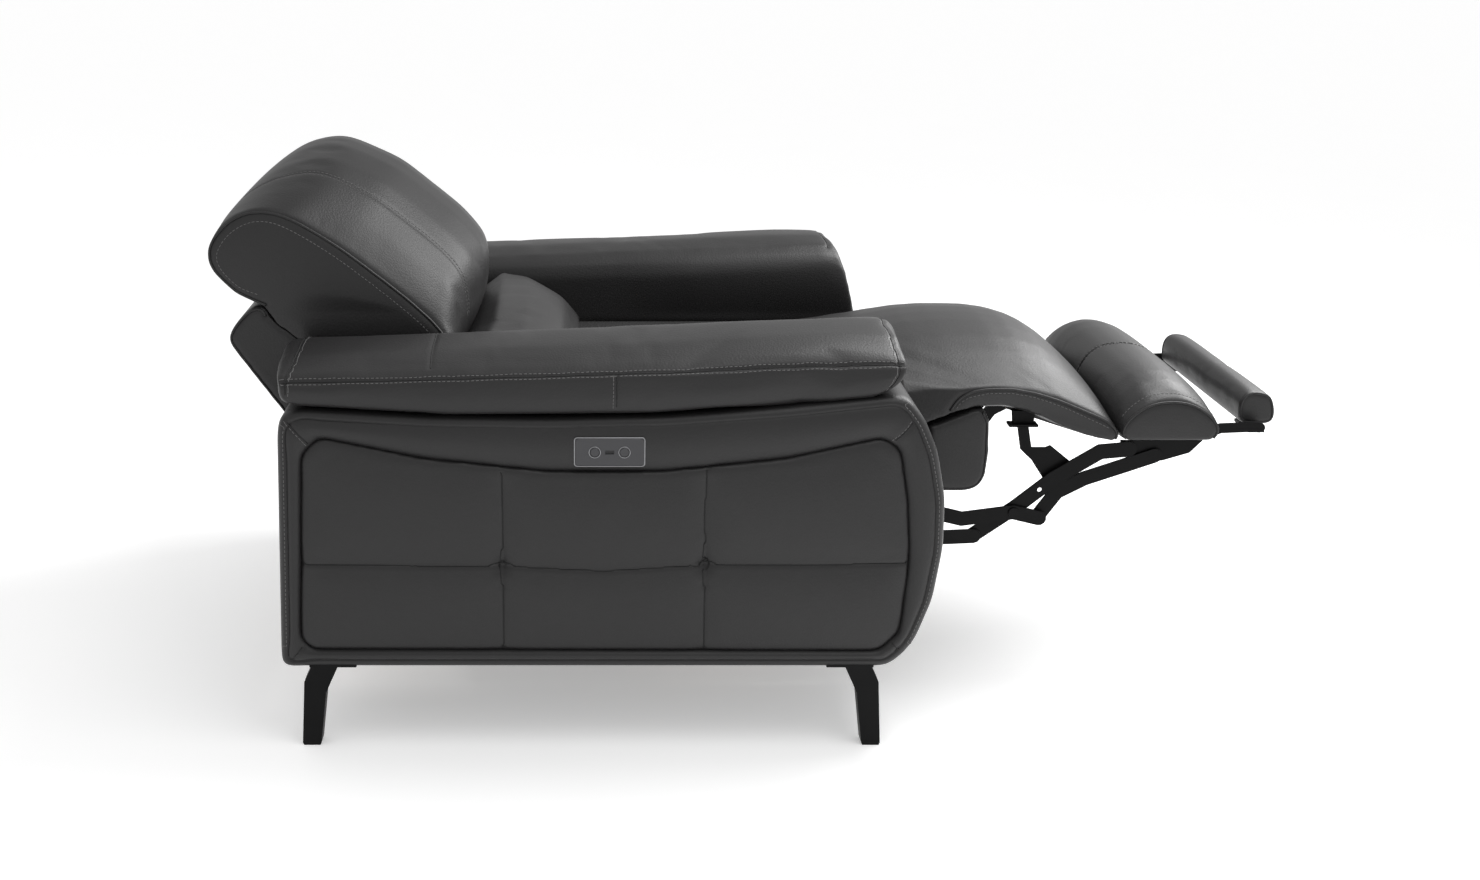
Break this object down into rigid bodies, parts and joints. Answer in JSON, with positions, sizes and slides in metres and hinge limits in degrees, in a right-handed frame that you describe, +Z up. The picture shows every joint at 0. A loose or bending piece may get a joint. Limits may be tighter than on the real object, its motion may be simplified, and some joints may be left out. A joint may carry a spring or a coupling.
{
  "type": "recliner armchair",
  "caption": "Power recliner armchair in charcoal leather, tufted side panels, angled steel legs, headrest that folds, and a leg rest on a steel bar linkage.",
  "frame": {"origin": "on the floor, under the centre of the chair's box with the leg rest out", "axes": "the chair faces -Y, +X is the sitter's left, +Z is up"},
  "size_m": [1.01, 1.7324, 0.8779],
  "materials": {
    "leather": "semi-matt grained leather",
    "steel": "black satin paint",
    "gunmetal": "dark satin metal",
    "wood": "raw plywood",
    "spring_felt": "felt-wrapped pocket springs",
    "plastic": "matt black moulding"
  },
  "bodies": {
    "base": {"arm_shell_r": "leather", "arm_shell_l": "leather", "side_inset_r": "leather", "side_inset_l": "leather", "arm_frame_r": "wood", "arm_frame_l": "wood", "arm_pad_r": "leather", "arm_pad_l": "leather", "leg_rear_r": "steel", "leg_rear_l": "steel", "leg_front_r": "steel", "leg_front_l": "steel", "front_rail": "wood", "rear_rail": "wood", "glide_rail_r": "steel", "glide_rail_l": "steel", "rear_panel": "leather", "power_box": "plastic", "control_plate": "gunmetal", "usb_socket": "plastic"},
    "button_open": {"button_open": "gunmetal"},
    "button_close": {"button_close": "gunmetal"},
    "seat": {"seat_deck": "wood", "spring_unit": "spring_felt", "seat_cushion": "leather", "seat_fascia": "leather", "side_plate_r": "steel", "side_plate_l": "steel", "motor": "plastic", "actuator_rail": "steel"},
    "carriage": {"carriage": "steel"},
    "back": {"back_board": "wood", "back_bracket_r": "steel", "back_bracket_l": "steel", "back_shell": "leather", "back_pad": "leather", "lumbar_cushion": "leather", "headrest_support": "steel"},
    "headrest": {"headrest_board": "wood", "headrest_pad": "leather"},
    "upper_links": {"upper_link_r": "steel", "upper_link_l": "steel", "drive_tube": "steel"},
    "lower_links": {"lower_link_r": "steel", "lower_link_l": "steel"},
    "long_links": {"long_link_r": "steel", "long_link_l": "steel", "mid_bracket_r": "steel", "mid_bracket_l": "steel"},
    "rest_links": {"rest_link_r": "steel", "rest_link_l": "steel"},
    "footrest": {"rest_bracket_r": "steel", "rest_bracket_l": "steel", "rest_pad": "leather"},
    "foot_pad": {"foot_bracket_r": "steel", "foot_bracket_l": "steel", "foot_pad": "leather"},
    "leg_rest": {"leg_board": "wood", "leg_cushion": "leather"}
  },
  "joints": [
    {"name": "recline", "type": "hinge", "parent": "seat", "child": "back", "pos_m": [0, 0.3308, 0.4], "axis": [1, 0, 0], "range_deg": [0, 32]},
    {"name": "seat_glide", "type": "slide", "parent": "base", "child": "seat", "axis": [0, 1, 0], "range_m": [0, 0.081]},
    {"name": "headrest_fold", "type": "hinge", "parent": "back", "child": "headrest", "pos_m": [0, 0.71382, 0.74683], "axis": [1, 0, 0], "range_deg": [0, 38]},
    {"name": "leg_rest_fold", "type": "hinge", "parent": "seat", "child": "upper_links", "pos_m": [0, -0.2247, 0.33], "axis": [1, 0, 0], "range_deg": [0, 98]},
    {"name": "lower_link_turn", "type": "hinge", "parent": "seat", "child": "lower_links", "pos_m": [0, -0.1618, 0.2893], "axis": [1, 0, 0], "range_deg": [0, 98.5]},
    {"name": "long_link_turn", "type": "hinge", "parent": "upper_links", "child": "long_links", "pos_m": [0, -0.4332, 0.296], "axis": [1, 0, 0], "range_deg": [-97.5, 0]},
    {"name": "rest_link_turn", "type": "hinge", "parent": "upper_links", "child": "rest_links", "pos_m": [0, -0.4762, 0.2856], "axis": [1, 0, 0], "range_deg": [-98, 0]},
    {"name": "footrest_turn", "type": "hinge", "parent": "long_links", "child": "footrest", "pos_m": [0, -0.6172, 0.4028], "axis": [1, 0, 0], "range_deg": [0, 92.5]},
    {"name": "foot_pad_fold", "type": "hinge", "parent": "footrest", "child": "foot_pad", "pos_m": [0, -0.7042, 0.4045], "axis": [1, 0, 0], "range_deg": [0, 171]},
    {"name": "leg_cushion_fold", "type": "hinge", "parent": "seat", "child": "leg_rest", "pos_m": [0, -0.4032, 0.4745], "axis": [1, 0, 0], "range_deg": [0, 76]},
    {"name": "carriage_travel", "type": "slide", "parent": "seat", "child": "carriage", "axis": [0, 1, 0], "range_m": [0, 0.151]},
    {"name": "button_open_press", "type": "slide", "parent": "base", "child": "button_open", "axis": [1, 0, 0], "range_m": [0, 0.001], "stiffness_N_per_m": 400},
    {"name": "button_close_press", "type": "slide", "parent": "base", "child": "button_close", "axis": [1, 0, 0], "range_m": [0, 0.001], "stiffness_N_per_m": 400}
  ],
  "couplings": [
    {"joint": "seat_glide", "follows": "recline", "m_per_rad": 0.14324},
    {"joint": "lower_link_turn", "follows": "leg_rest_fold", "ratio": 0.999},
    {"joint": "long_link_turn", "follows": "leg_rest_fold", "ratio": -0.9918},
    {"joint": "rest_link_turn", "follows": "leg_rest_fold", "ratio": -0.9913},
    {"joint": "footrest_turn", "follows": "leg_rest_fold", "ratio": 0.9392},
    {"joint": "foot_pad_fold", "follows": "leg_rest_fold", "ratio": 1.733},
    {"joint": "leg_cushion_fold", "follows": "leg_rest_fold", "ratio": 0.7705},
    {"joint": "carriage_travel", "follows": "leg_rest_fold", "m_per_rad": 0.0877}
  ]
}
